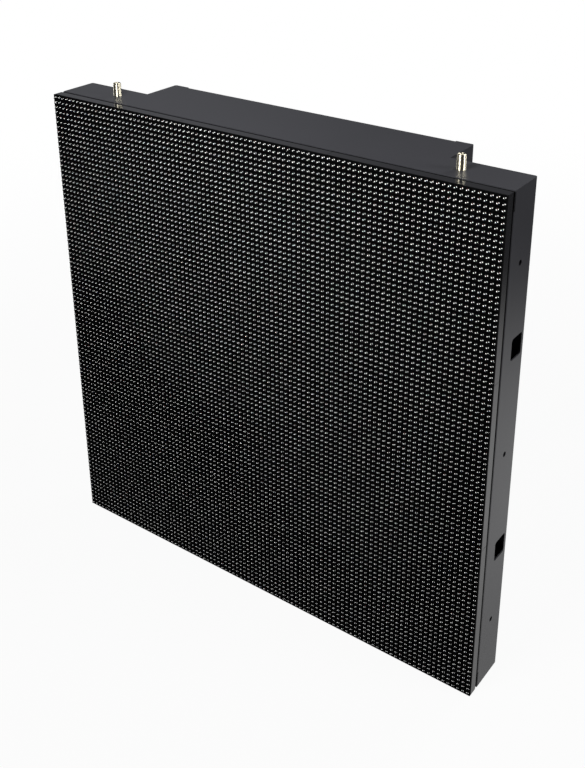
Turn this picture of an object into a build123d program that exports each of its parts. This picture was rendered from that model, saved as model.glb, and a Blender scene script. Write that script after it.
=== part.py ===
from build123d import *
import os

# LED display panel: louvred LED modules held by magnets on a folded steel case. The case is a shallow
# frame with a narrower box at its rear for the power supply and the control boards.
# X runs to the viewer's right, Y from the LED face to the rear and Z up. The origin is the bottom centre
# of the part's box. Depths are counted from the louvre tips towards the rear. All sizes are in mm.

# LED grid
pixel_pitch = 6.0
module_pixels = 32
modules_across = 3
modules_high = 3

# Module mask with one louvre under each row of LEDs
mask_depth = 3.0
mask_plate = 1.2
mask_rim = 0.8
mask_rim_setback = 0.6
louvre_below_led = 1.5
louvre_root = 1.1
louvre_tip = 0.5
louvre_slope = 0.2

# Module circuit board with its plugs
board_thickness = 1.6
board_clearance = 0.2
plug_height = 9.0
data_plug_width = 9.0
data_plug_length = 26.0
data_plug_offset = 60.0
power_plug_width = 20.0
power_plug_length = 12.0
plug_clearance = 1.0

# Module base shell and its magnets
module_gap = 0.4
module_depth = 13.0
base_wall = 1.6
base_floor = 1.2
base_rib = 1.4
base_rib_offset = 24.0
magnet_diameter = 12.0
magnet_height = 2.0
magnet_inset = 12.0

# Steel case
sheet = 1.5
bend_radius = 1.0
fold_clearance = 0.3
case_depth = 63.0
box_width = 396.0
box_depth = 114.0
front_flange = 20.0
side_flange = 22.0
cover_flange = 20.0
wall_tab = 18.0

# Holes and slots in the side panels
side_bolt_diameter = 6.0
side_bolt_depth = 39.0
side_bolt_spacing = 210.0
side_slot_depth = 22.0
side_slot_height = 24.0
side_slot_middle = 46.0
side_slot_offset = 119.0
side_slot_corner = 3.0

# Locating pins on the top and their sockets in the bottom
pin_diameter = 9.0
pin_height = 15.0
pin_chamfer = 0.6
pin_offset = 222.0
pin_middle = 39.0
pin_shank_diameter = 6.0
pin_shank_length = 9.0
pin_hole_clearance = 0.2
nut_width = 10.0
nut_height = 5.0
nut_clearance = 0.05
socket_clearance = 0.3
socket_diameter = 14.0
socket_height = 16.0
socket_flange_diameter = 20.0
socket_flange_height = 2.0

# Rails behind the module seams and the mounting plate on them
rail_width = 44.0
rail_depth = 24.0
plate_margin = 50.0
plate_beside_supply = 11.0
plate_lip = 12.0
window_size = 50.0
window_corner = 5.0
window_spacing = 140.0

# Rear cover, its vents and its screws
cover_inset = 4.0
cover_corner = 3.0
vent_length = 50.0
vent_width = 5.0
vent_columns = 3
vent_rows = 3
vent_column_spacing = 80.0
vent_row_spacing = 16.0
vent_offset = 190.0
screw_diameter = 3.5
screw_head_diameter = 6.4
screw_length = 8.0
screw_inset = 10.0
screw_clearance = 0.1
side_screws = 4
side_screw_margin = 30.0
end_screws = 2
end_screw_spacing = 180.0

# Power supply with its terminal block
supply_width = 215.0
supply_height = 115.0
supply_thickness = 30.0
supply_middle = 150.0
supply_edge = 1.5
terminal_width = 17.0
terminal_margin = 8.0
terminal_thickness = 14.0
terminal_poles = 9
terminal_partition = 1.2
terminal_groove_depth = 7.0
terminal_clearance = 0.5

# Hub board, receiving card and standoffs
hub_width = 160.0
hub_height = 90.0
hub_above_middle = 130.0
standoff_diameter = 6.0
standoff_height = 8.0
standoff_inset = 5.0
hub_plug_count = 3
hub_plug_spacing = 40.0
hub_plug_drop = 34.0
card_width = 100.0
card_height = 52.0
card_rise = 12.0
card_header_height = 8.5
card_header_thickness = 5.0

# Round sockets on the walls of the rear box
outlet_flange_width = 26.0
outlet_flange_height = 31.0
outlet_flange_thickness = 2.0
outlet_flange_corner = 3.0
outlet_barrel_diameter = 23.6
outlet_barrel_length = 24.0
outlet_clearance = 0.2
outlet_cavity_diameter = 19.0
outlet_cavity_depth = 13.0
outlet_key_width = 3.0
outlet_key_height = 1.2
contact_width = 2.0
contact_height = 5.0
contact_depth = 6.0
contact_circle = 5.0
jack_width = 11.7
jack_height = 8.0
outlet_low = 80.0
outlet_high = 130.0

# Carrying handles on the rear wings
handle_bar = 10.0
handle_span = 120.0
handle_rise = 36.0
handle_bend = 14.0
handle_foot_diameter = 20.0
handle_foot_height = 4.0
handle_screw_diameter = 6.0
handle_screw_head = 10.0
handle_screw_head_height = 4.0
handle_screw_length = 12.0

# Sizes that follow from those above
module_size = pixel_pitch * module_pixels
face_width = module_size * modules_across
face_height = module_size * modules_high
module_outer = module_size - module_gap
case_front = module_depth + magnet_height
box_rear = box_depth - sheet
fold_outer = sheet + bend_radius
plate_front = case_front + rail_depth
plate_rear = plate_front + sheet
plate_width = supply_width + 2 * (plate_beside_supply + sheet)
middle_z = face_height / 2
wing_middle_x = (box_width + face_width) / 4


def at_depth(depth):
    """Y of a plane that lies this far behind the louvre tips."""
    return depth - box_depth / 2


def block(x, depth, z):
    """A block between two X values, two depths and two Z values."""
    size = Box(x[1] - x[0], depth[1] - depth[0], z[1] - z[0])
    return Pos((x[0] + x[1]) / 2, at_depth((depth[0] + depth[1]) / 2), (z[0] + z[1]) / 2) * size


def rod(diameter, length, start, direction):
    """A round rod of this length from a start point along a direction."""
    place = Plane(origin=start, z_dir=direction)
    return extrude(place * Circle(diameter / 2), length, dir=Vector(direction))


def mirrored(shape):
    """The left-hand copy of a right-hand piece."""
    return mirror(shape, about=Plane.YZ)


def turned_over(shape):
    """The bottom copy of a piece at the top of the case."""
    return mirror(shape, about=Plane.XY.offset(middle_z))


def folded(outer_line, plane, start, end):
    """Folded sheet whose outer faces follow outer_line, which has the sheet on its left."""
    radii = []
    for before, corner, after in zip(outer_line, outer_line[1:], outer_line[2:]):
        arriving = Vector(*corner) - Vector(*before)
        leaving = Vector(*after) - Vector(*corner)
        radii.append(fold_outer if arriving.cross(leaving).Z > 0 else bend_radius)
    line = FilletPolyline(*outer_line, radius=radii)
    section = make_face(offset(line, amount=sheet, side=Side.LEFT))
    return extrude(plane.offset(start) * section, end - start, dir=plane.z_dir)


def upright(outer_line):
    """Folded sheet as tall as the room between the top and bottom panels. Its points are X and depth."""
    points = [(x, at_depth(depth)) for x, depth in outer_line]
    return folded(points, Plane.XY, sheet, face_height - sheet)


def crosswise(outer_line, half_width):
    """Folded sheet that runs across the case. Its points are depth and Z."""
    points = [(at_depth(depth), z) for depth, z in outer_line]
    return folded(points, Plane.YZ, -half_width, half_width)


def clear_of_front_flanges(piece):
    """Cuts an upright back where the flanges of the top and bottom panels lie in front of it."""
    reach = front_flange + fold_clearance
    upper = block(
        (-face_width, face_width),
        (0, case_front + fold_outer + fold_clearance),
        (face_height - reach, face_height),
    )
    return piece - upper - turned_over(upper)


def module_centres():
    """Row, column, X and Z of each module, from the top left."""
    for row in range(modules_high):
        for column in range(modules_across):
            x = (column - (modules_across - 1) / 2) * module_size
            z = face_height - (row + 0.5) * module_size
            yield row + 1, column + 1, x, z


def mask(x, z):
    """Moulded front plate of a module, with a louvre that leans out under each row of LEDs."""
    half = module_outer / 2
    plate_face = at_depth(mask_depth - mask_plate)
    tip = at_depth(0)
    front = []
    for row in range(module_pixels):
        led_z = z + module_size / 2 - (row + 0.5) * pixel_pitch
        upper = led_z - louvre_below_led
        lower = upper - louvre_slope - louvre_tip
        front += [
            (plate_face, upper),
            (tip, upper - louvre_slope),
            (tip, lower),
            (plate_face, upper - louvre_root),
        ]
    back = at_depth(mask_depth)
    outline = [(back, z - half), (back, z + half), (plate_face, z + half), *front, (plate_face, z - half)]
    section = make_face(Polyline(*outline, close=True))
    louvres = extrude(Plane.YZ.offset(x - half) * section, module_outer, dir=(1, 0, 0))
    rim_depths = (mask_rim_setback, mask_depth)
    left_rim = block((x - half, x - half + mask_rim), rim_depths, (z - half, z + half))
    right_rim = block((x + half - mask_rim, x + half), rim_depths, (z - half, z + half))
    return louvres + left_rim + right_rim


def plug_places(x, z):
    """Centre, width and height of the three plugs on a module's board: data in, power and data out."""
    return [
        (x - data_plug_offset, z, data_plug_width, data_plug_length),
        (x, z, power_plug_width, power_plug_length),
        (x + data_plug_offset, z, data_plug_width, data_plug_length),
    ]


def circuit_board(x, z):
    """Board that carries the LEDs on its front and three plugs on its rear."""
    half = module_outer / 2 - base_wall - board_clearance
    rear = mask_depth + board_thickness
    board = block((x - half, x + half), (mask_depth, rear), (z - half, z + half))
    for plug_x, plug_z, width, height in plug_places(x, z):
        plug = block(
            (plug_x - width / 2, plug_x + width / 2),
            (rear, rear + plug_height),
            (plug_z - height / 2, plug_z + height / 2),
        )
        board += plug
    return board


def module_base(x, z):
    """Moulded tray behind the board, with ribs under it and a window in its floor for each plug."""
    half = module_outer / 2
    inner = half - base_wall
    board_rear = mask_depth + board_thickness
    floor = module_depth - base_floor
    tray = block((x - half, x + half), (mask_depth, module_depth), (z - half, z + half))
    tray -= block((x - inner, x + inner), (mask_depth, floor), (z - inner, z + inner))
    for side in (-1, 1):
        rib_x = x + side * base_rib_offset
        rib_z = z + side * base_rib_offset
        depths = (board_rear, floor)
        tray += block((rib_x - base_rib / 2, rib_x + base_rib / 2), depths, (z - inner, z + inner))
        tray += block((x - inner, x + inner), depths, (rib_z - base_rib / 2, rib_z + base_rib / 2))
    for plug_x, plug_z, width, height in plug_places(x, z):
        half_width = width / 2 + plug_clearance
        half_height = height / 2 + plug_clearance
        tray -= block(
            (plug_x - half_width, plug_x + half_width),
            (floor, module_depth),
            (plug_z - half_height, plug_z + half_height),
        )
    return tray


def module_magnets():
    """Round magnets on the module bases. They stand the modules off the case and leave a dark line."""
    magnets = []
    reach = module_size / 2 - magnet_inset
    for row, column, x, z in module_centres():
        for side_x in (-reach, reach):
            for side_z in (-reach, reach):
                start = (x + side_x, at_depth(module_depth), z + side_z)
                magnets.append(rod(magnet_diameter, magnet_height, start, (0, 1, 0)))
    return Compound(children=magnets)


def end_sheet():
    """T-shaped sheet of the case's top: wide over the frame, narrow over the rear box."""
    half_box = box_width / 2
    flange_end = half_box - cover_flange - fold_clearance
    top = face_height
    front = crosswise(
        [(case_depth, top), (case_front, top), (case_front, top - front_flange)],
        face_width / 2,
    )
    front = fillet(front.edges().filter_by(Axis.Z).group_by(Axis.Y)[-1], fold_outer)
    tongue = block((-half_box, half_box), (case_depth - fold_outer, box_rear), (top - sheet, top))
    tongue = fillet(tongue.edges().filter_by(Axis.Z).group_by(Axis.Y)[-1], fold_outer)
    tongue -= block(
        (-flange_end - fold_clearance, flange_end + fold_clearance),
        (box_rear - fold_outer, box_depth),
        (top - sheet, top),
    )
    rear = crosswise(
        [(box_rear, top - cover_flange), (box_rear, top), (case_depth, top)],
        flange_end,
    )
    return front + tongue + rear


def pin_places():
    """X of the two locating pins, left and right."""
    return (-pin_offset, pin_offset)


def top_panel():
    """Top of the case, with holes for the locating pins."""
    panel = end_sheet()
    for x in pin_places():
        start = (x, at_depth(pin_middle), face_height - sheet)
        panel -= rod(pin_shank_diameter + 2 * pin_hole_clearance, sheet, start, (0, 0, 1))
    return panel - cover_screw_holes()


def bottom_panel():
    """Bottom of the case, with holes for the pin sockets."""
    panel = turned_over(end_sheet())
    for x in pin_places():
        start = (x, at_depth(pin_middle), 0)
        panel -= rod(socket_diameter + 2 * pin_hole_clearance, sheet, start, (0, 0, 1))
    return panel - cover_screw_holes()


def side_panel():
    """Right side: front flange, side wall and rear wing folded from one sheet."""
    edge = face_width / 2
    wing_end = box_width / 2 + bend_radius + fold_clearance
    panel = upright(
        [(edge - side_flange, case_front), (edge, case_front), (edge, case_depth), (wing_end, case_depth)]
    )
    panel = clear_of_front_flanges(panel)
    for step in (-1, 0, 1):
        start = (edge - sheet, at_depth(side_bolt_depth), middle_z + step * side_bolt_spacing)
        panel -= rod(side_bolt_diameter, sheet, start, (1, 0, 0))
    for side in (-1, 1):
        place = Plane(
            origin=(edge - sheet, at_depth(side_slot_middle), middle_z + side * side_slot_offset),
            x_dir=(0, 1, 0),
            z_dir=(1, 0, 0),
        )
        slot = RectangleRounded(side_slot_depth, side_slot_height, side_slot_corner)
        panel -= extrude(place * slot, sheet, dir=(1, 0, 0))
    for start in handle_screw_places():
        panel -= rod(handle_screw_diameter + 2 * screw_clearance, 2 * sheet, start, (0, 1, 0))
    return panel


def outlet_places():
    """Z of the two round sockets on a wall of the rear box."""
    return (outlet_low, outlet_high)


def outlet_depth():
    """Depth of the middle of the flat stretch of a box wall."""
    return (case_depth + box_rear) / 2


def box_wall():
    """Right wall of the rear box, with a tab behind the wing and a flange for the cover."""
    wall_x = box_width / 2
    tab_depth = case_depth - sheet
    wall = upright(
        [
            (wall_x + wall_tab, tab_depth),
            (wall_x, tab_depth),
            (wall_x, box_rear),
            (wall_x - cover_flange, box_rear),
        ]
    )
    for z in outlet_places():
        start = (wall_x - sheet, at_depth(outlet_depth()), z)
        wall -= rod(outlet_barrel_diameter + 2 * outlet_clearance, sheet, start, (1, 0, 0))
    return wall - cover_screw_holes()


def cover_screw_places():
    """X and Z of each screw round the edge of the rear cover."""
    side_x = box_width / 2 - screw_inset
    step = (face_height - 2 * side_screw_margin) / (side_screws - 1)
    places = []
    for side in (-1, 1):
        places += [(side * side_x, side_screw_margin + i * step) for i in range(side_screws)]
    for z in (screw_inset, face_height - screw_inset):
        for i in range(end_screws):
            places.append(((i - (end_screws - 1) / 2) * end_screw_spacing, z))
    return places


def cover_screw_holes():
    """Holes for the cover screws in the flanges of the case."""
    diameter = screw_diameter + 2 * screw_clearance
    holes = []
    for x, z in cover_screw_places():
        start = (x, at_depth(box_rear - 2 * sheet), z)
        holes.append(rod(diameter, 2 * sheet, start, (0, 1, 0)))
    return holes


def countersunk_screw(x, z, clearance, length):
    """Countersunk screw whose head is flush with the cover, or its hole when it has a clearance."""
    radius = screw_diameter / 2 + clearance
    head = screw_head_diameter / 2 + clearance
    outline = Polyline(
        (0, 0),
        (head, 0),
        (radius, -sheet),
        (radius, -length),
        (0, -length),
        close=True,
    )
    solid = revolve(Plane.XZ * make_face(outline), axis=Axis.Z)
    return Plane(origin=(x, at_depth(box_depth), z), z_dir=(0, 1, 0)) * solid


def cover_screws():
    """The screws that hold the rear cover."""
    return Compound(children=[countersunk_screw(x, z, 0, screw_length) for x, z in cover_screw_places()])


def rear_cover():
    """Flat cover of the rear box, with two fields of vent slots."""
    half = box_width / 2 - cover_inset
    plate = block((-half, half), (box_rear, box_depth), (cover_inset, face_height - cover_inset))
    plate = fillet(plate.edges().filter_by(Axis.Y), cover_corner)
    place = Plane(origin=(0, at_depth(box_rear), middle_z), x_dir=(1, 0, 0), z_dir=(0, -1, 0))
    for side in (-1, 1):
        for vent in GridLocations(vent_column_spacing, vent_row_spacing, vent_columns, vent_rows):
            slot = place * Pos(0, side * vent_offset) * vent * SlotOverall(vent_length, vent_width)
            plate -= extrude(slot, sheet, dir=(0, 1, 0))
    holes = [countersunk_screw(x, z, screw_clearance, screw_length) for x, z in cover_screw_places()]
    return plate - holes


def rail(x):
    """Channel behind a seam between two columns of modules."""
    left = x - rail_width / 2
    right = x + rail_width / 2
    channel = upright([(left, plate_front), (left, case_front), (right, case_front), (right, plate_front)])
    return clear_of_front_flanges(channel)


def mounting_plate():
    """Plate on the rails with a lip at each side and windows for the cables."""
    half = plate_width / 2
    line = [
        (-half, at_depth(plate_front + plate_lip)),
        (-half, at_depth(plate_front)),
        (half, at_depth(plate_front)),
        (half, at_depth(plate_front + plate_lip)),
    ]
    plate = folded(line, Plane.XY, plate_margin, face_height - plate_margin)
    place = Plane(origin=(0, at_depth(plate_front), middle_z), x_dir=(1, 0, 0), z_dir=(0, -1, 0))
    for window in GridLocations(window_spacing, 0, 2, 1):
        outline = place * window * RectangleRounded(window_size, window_size, window_corner)
        plate -= extrude(outline, sheet, dir=(0, 1, 0))
    return plate


def power_supply():
    """Enclosed power supply with an open recess at its right end for the terminals."""
    half_width = supply_width / 2
    low = supply_middle - supply_height / 2
    high = supply_middle + supply_height / 2
    rear = plate_rear + supply_thickness
    case = block((-half_width, half_width), (plate_rear, rear), (low, high))
    case = chamfer(case.edges().group_by(Axis.Y)[-1], supply_edge)
    recess = block(
        (half_width - terminal_width, half_width),
        (rear - terminal_thickness - terminal_clearance, rear),
        (low + terminal_margin, high - terminal_margin),
    )
    return case - recess


def terminal_block():
    """Barrier strip of the power supply, with a groove for each screw terminal."""
    right = supply_width / 2
    left = right - terminal_width + terminal_clearance
    floor = plate_rear + supply_thickness - terminal_thickness - terminal_clearance
    length = supply_height - 2 * terminal_margin - 2 * terminal_clearance
    low = supply_middle - length / 2
    strip = block((left, right), (floor, floor + terminal_thickness), (low, low + length))
    step = (length - terminal_partition) / terminal_poles
    for pole in range(terminal_poles):
        start = low + terminal_partition + pole * step
        strip -= block(
            (left, right),
            (floor + terminal_thickness - terminal_groove_depth, floor + terminal_thickness),
            (start, start + step - terminal_partition),
        )
    return strip


def hub_front():
    """Depth of the front face of the hub board."""
    return plate_rear + standoff_height


def hub_board():
    """Board that shares out the power and data, with a row of plugs for the module rows."""
    z = middle_z + hub_above_middle
    rear = hub_front() + board_thickness
    half = hub_width / 2
    board = block((-half, half), (hub_front(), rear), (z - hub_height / 2, z + hub_height / 2))
    for i in range(hub_plug_count):
        x = (i - (hub_plug_count - 1) / 2) * hub_plug_spacing
        board += block(
            (x - data_plug_length / 2, x + data_plug_length / 2),
            (rear, rear + plug_height),
            (z - hub_plug_drop - data_plug_width / 2, z - hub_plug_drop + data_plug_width / 2),
        )
    return board


def receiving_card():
    """Small control card, plugged on the hub board by a header at each side."""
    z = middle_z + hub_above_middle + card_rise
    front = hub_front() + board_thickness
    board_front = front + card_header_height
    half = card_width / 2
    heights = (z - card_height / 2, z + card_height / 2)
    card = block((-half, half), (board_front, board_front + board_thickness), heights)
    for side in (-1, 1):
        edge = side * half
        inner = edge - side * card_header_thickness
        card += block((min(edge, inner), max(edge, inner)), (front, board_front), heights)
    return card


def board_standoffs():
    """Four posts between the mounting plate and the hub board."""
    z = middle_z + hub_above_middle
    reach_x = hub_width / 2 - standoff_inset
    reach_z = hub_height / 2 - standoff_inset
    posts = []
    for x in (-reach_x, reach_x):
        for side_z in (-reach_z, reach_z):
            start = (x, at_depth(plate_rear), z + side_z)
            posts.append(rod(standoff_diameter, standoff_height, start, (0, 1, 0)))
    return Compound(children=posts)


def outlet_shell(z):
    """Round socket on the right wall of the rear box: square flange, barrel and keyed cavity."""
    wall_x = box_width / 2
    centre_y = at_depth(outlet_depth())
    place = Plane(origin=(wall_x, centre_y, z), x_dir=(0, 1, 0), z_dir=(1, 0, 0))
    flange = RectangleRounded(outlet_flange_width, outlet_flange_height, outlet_flange_corner)
    shell = extrude(place * flange, outlet_flange_thickness, dir=(1, 0, 0))
    shell += rod(outlet_barrel_diameter, outlet_barrel_length, (wall_x, centre_y, z), (-1, 0, 0))
    mouth = wall_x + outlet_flange_thickness
    cavity = rod(outlet_cavity_diameter, outlet_cavity_depth, (mouth, centre_y, z), (-1, 0, 0))
    key_top = z + outlet_cavity_diameter / 2
    key = Box(outlet_cavity_depth, outlet_key_width, 2 * outlet_key_height)
    return shell - (cavity - Pos(mouth - outlet_cavity_depth / 2, centre_y, key_top) * key)


def power_outlet(z):
    """Power socket with three contact slots in the floor of its cavity."""
    floor_x = box_width / 2 + outlet_flange_thickness - outlet_cavity_depth
    shell = outlet_shell(z)
    for contact in PolarLocations(contact_circle, 3):
        offset_y, offset_z, _ = contact.position
        slot = Box(contact_depth, contact_width, contact_height)
        shell -= Pos(floor_x - contact_depth / 2, at_depth(outlet_depth()) + offset_y, z + offset_z) * slot
    return shell


def data_outlet(z):
    """Data socket with a square jack in the floor of its cavity."""
    floor_x = box_width / 2 + outlet_flange_thickness - outlet_cavity_depth
    jack = Box(contact_depth, jack_width, jack_height)
    return outlet_shell(z) - Pos(floor_x - contact_depth / 2, at_depth(outlet_depth()), z) * jack


def locating_pin(x):
    """Pin with a chamfered top, seated on the top panel, and a thinner shank for its nut."""
    y = at_depth(pin_middle)
    pin = rod(pin_diameter, pin_height, (x, y, face_height), (0, 0, 1))
    pin = chamfer(pin.edges().sort_by(Axis.Z)[-1], pin_chamfer)
    return pin + rod(pin_shank_diameter, pin_shank_length, (x, y, face_height), (0, 0, -1))


def pin_nuts():
    """Hexagon nuts under the top panel."""
    nuts = []
    for x in pin_places():
        place = Plane(origin=(x, at_depth(pin_middle), face_height - sheet), z_dir=(0, 0, -1))
        flats = RegularPolygon(nut_width / 2, 6, major_radius=False)
        nuts.append(extrude(place * (flats - Circle(pin_shank_diameter / 2 + nut_clearance)), nut_height))
    return Compound(children=nuts)


def pin_socket(x):
    """Flanged bush in the bottom panel for the pin of the panel below."""
    start = (x, at_depth(pin_middle), 0)
    bush = rod(socket_diameter, socket_height, start, (0, 0, 1))
    flange = (x, at_depth(pin_middle), sheet)
    bush += rod(socket_flange_diameter, socket_flange_height, flange, (0, 0, 1))
    return bush - rod(pin_diameter + 2 * socket_clearance, socket_height, start, (0, 0, 1))


def handle_screw_places():
    """Points inside the case where the screws of the right handle start."""
    y = at_depth(case_depth - sheet)
    return [(wing_middle_x, y, middle_z + side * handle_span / 2) for side in (-1, 1)]


def handle():
    """Bow handle on the right wing, with a round foot at each end."""
    low = middle_z - handle_span / 2
    high = middle_z + handle_span / 2
    root = at_depth(case_depth)
    grip = at_depth(case_depth + handle_rise)
    path = FilletPolyline((root, low), (grip, low), (grip, high), (root, high), radius=handle_bend)
    path = Plane.YZ.offset(wing_middle_x) * path
    start = Plane(origin=path @ 0, z_dir=path % 0)
    bow = sweep(start * Circle(handle_bar / 2), path=path)
    for z in (low, high):
        bow += rod(handle_foot_diameter, handle_foot_height, (wing_middle_x, root, z), (0, 1, 0))
    bore = handle_screw_diameter + 2 * screw_clearance
    for x, y, z in handle_screw_places():
        bow -= rod(bore, handle_screw_length, (x, root, z), (0, 1, 0))
    return bow


def handle_screws():
    """Screws from inside the case into the feet of both handles."""
    screws = []
    for x, y, z in handle_screw_places():
        head = rod(handle_screw_head, handle_screw_head_height, (x, y, z), (0, -1, 0))
        screw = head + rod(handle_screw_diameter, handle_screw_length, (x, y, z), (0, 1, 0))
        screws += [screw, mirrored(screw)]
    return Compound(children=screws)


def all_parts():
    """Every piece by its name."""
    parts = {
        "top_panel": top_panel(),
        "bottom_panel": bottom_panel(),
        "side_panel_right": side_panel(),
        "box_wall_right": box_wall(),
        "rear_cover": rear_cover(),
        "cover_screws": cover_screws(),
        "module_magnets": module_magnets(),
        "mounting_plate": mounting_plate(),
        "power_supply": power_supply(),
        "terminal_block": terminal_block(),
        "hub_board": hub_board(),
        "receiving_card": receiving_card(),
        "board_standoffs": board_standoffs(),
        "data_input": data_outlet(outlet_low),
        "data_output": data_outlet(outlet_high),
        "power_input": mirrored(power_outlet(outlet_low)),
        "power_output": mirrored(power_outlet(outlet_high)),
        "handle_right": handle(),
        "handle_screws": handle_screws(),
        "pin_nuts": pin_nuts(),
    }
    parts["side_panel_left"] = mirrored(parts["side_panel_right"])
    parts["box_wall_left"] = mirrored(parts["box_wall_right"])
    parts["handle_left"] = mirrored(parts["handle_right"])
    for seam in range(1, modules_across):
        parts[f"rail_{seam}"] = rail(seam * module_size - face_width / 2)
    for side, x in zip(("left", "right"), pin_places()):
        parts[f"locating_pin_{side}"] = locating_pin(x)
        parts[f"pin_socket_{side}"] = pin_socket(x)
    for row, column, x, z in module_centres():
        place = f"row{row}_column{column}"
        parts[f"mask_{place}"] = mask(x, z)
        parts[f"circuit_board_{place}"] = circuit_board(x, z)
        parts[f"module_base_{place}"] = module_base(x, z)
    return parts


def write_parts():
    """Writes one STEP file for each piece."""
    os.makedirs("parts", exist_ok=True)
    for name, shape in all_parts().items():
        export_step(shape, f"parts/{name}.step")


write_parts()
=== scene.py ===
"""LED display panel: nine louvred LED modules on a folded steel case with a narrower box behind it.

Lengths are in metres in the part's own frame: X to the right of the LED face, Y to the rear and Z up."""

import math

import bmesh
import bpy
from mathutils import Matrix, Vector


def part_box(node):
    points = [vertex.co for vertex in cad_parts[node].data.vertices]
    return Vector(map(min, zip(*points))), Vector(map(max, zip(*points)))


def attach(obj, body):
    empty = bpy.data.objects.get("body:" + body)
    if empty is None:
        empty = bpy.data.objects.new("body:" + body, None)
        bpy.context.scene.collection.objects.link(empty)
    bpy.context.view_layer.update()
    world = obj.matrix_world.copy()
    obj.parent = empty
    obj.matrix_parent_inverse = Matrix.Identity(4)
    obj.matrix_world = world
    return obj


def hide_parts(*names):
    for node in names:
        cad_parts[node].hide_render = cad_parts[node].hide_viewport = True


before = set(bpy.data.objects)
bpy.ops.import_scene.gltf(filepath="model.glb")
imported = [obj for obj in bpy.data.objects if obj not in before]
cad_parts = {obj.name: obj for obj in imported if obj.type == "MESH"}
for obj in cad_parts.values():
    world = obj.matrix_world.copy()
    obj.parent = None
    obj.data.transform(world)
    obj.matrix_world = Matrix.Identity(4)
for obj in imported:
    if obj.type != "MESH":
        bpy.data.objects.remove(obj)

bl_info = {
    "name": "LED display panel",
    "version": (1, 0, 0),
    "blender": (4, 5, 0),
    "location": "3D View > Sidebar > LED panel",
    "description": "Masks, LEDs, screws, finishes and stage of an LED display panel",
    "category": "Object",
}

MM = 0.001
BODY = "root"
MODULES = [f"row{row}_column{column}" for row in (1, 2, 3) for column in (1, 2, 3)]
# LEDs along each side of a module
CELLS = 32
# Signs of a rectangle's four corners, round from the upper right one
QUARTERS = ((1, 1), (-1, 1), (-1, -1), (1, -1))
# Points of a mesh that lie nearer than this are one point
WELD = 0.001 * MM
FACE_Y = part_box("mask_row1_column1")[0].y
BOARD_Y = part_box("circuit_board_row1_column1")[0].y
LIP_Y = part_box("top_panel")[0].y
COVER_LOW, COVER_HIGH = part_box("rear_cover")
# Distances behind the case's front edge where the painted shade of the gap behind the modules is full and
# where it has faded out
GAP_SHADE_FADE = (0.6 * MM, 1.4 * MM)
# Dull black of the painted shade in the gap between the case's front edge and the modules
PAINTED_GAP_SHADE = (0.002, 0.002, 0.002)
WHITE = (1.0, 1.0, 1.0)
LAMPS = ("key", "fill", "rear", "left")
PAINT_NODES = (
    "top_panel",
    "bottom_panel",
    "side_panel_left",
    "side_panel_right",
    "box_wall_left",
    "box_wall_right",
    "rear_cover",
    "rail_1",
    "rail_2",
    "handle_left",
    "handle_right",
)
ZINC_NODES = ("mounting_plate", "power_supply", "pin_nuts", "pin_socket_left", "pin_socket_right")
NICKEL_NODES = ("module_magnets", "board_standoffs", "locating_pin_left", "locating_pin_right")
BOARD_NODES = ("hub_board", "receiving_card")
FITTING_NODES = ("power_input", "power_output", "data_input", "data_output", "terminal_block")


def length(name, description, default):
    """A size property in metres."""
    return bpy.props.FloatProperty(
        name=name, description=description, default=default, unit="LENGTH", precision=5
    )


def location(name, description, default):
    """A place property in metres."""
    return bpy.props.FloatVectorProperty(
        name=name, description=description, default=default, subtype="TRANSLATION", precision=4
    )


def wattage(name, description, default):
    """A lamp power property in watts."""
    return bpy.props.FloatProperty(name=name, description=description, default=default, unit="POWER")


def number(name, description, default):
    """A property that counts pieces."""
    return bpy.props.IntProperty(name=name, description=description, default=default, min=1)


def colour(name, description, default):
    """A colour property."""
    return bpy.props.FloatVectorProperty(
        name=name, description=description, default=default, subtype="COLOR", size=3, min=0, max=1
    )


def share(name, description, default):
    """A property from 0 to 1."""
    return bpy.props.FloatProperty(
        name=name, description=description, default=default, subtype="FACTOR", min=0, max=1
    )


class MaskSizes(bpy.types.PropertyGroup):
    """Sizes of the louvred mask of a module."""

    pitch: length("Pitch", "Distance from LED to LED", 6 * MM)
    window_width: length("Window width", "Width of the window round an LED", 3.9 * MM)
    window_height: length("Window height", "Height of the window round an LED", 2.96 * MM)
    plate: length("Plate", "Thickness of the plate between the LEDs", 1.2 * MM)
    drop: length("Louvre drop", "Height of an LED's middle over its louvre", 1.5 * MM)
    root: length("Louvre root", "Thickness of a louvre where it leaves the plate", 1.1 * MM)
    tip: length("Louvre tip", "Thickness of a louvre at its tip", 0.5 * MM)
    slope: length("Louvre slope", "Fall of a louvre's upper side from the plate to the tip", 0.2 * MM)
    rib_width: length("Rib width", "Width of the rib between two columns of LEDs", 0.5 * MM)
    rib_depth: length("Rib depth", "Distance of a rib's edge behind the louvre tips", 1.0 * MM)
    rim_width: length("Rim width", "Width of the rim at the left and right of a module", 0.8 * MM)
    rim_depth: length("Rim depth", "Distance of the rim's edge behind the louvre tips", 0.6 * MM)


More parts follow.
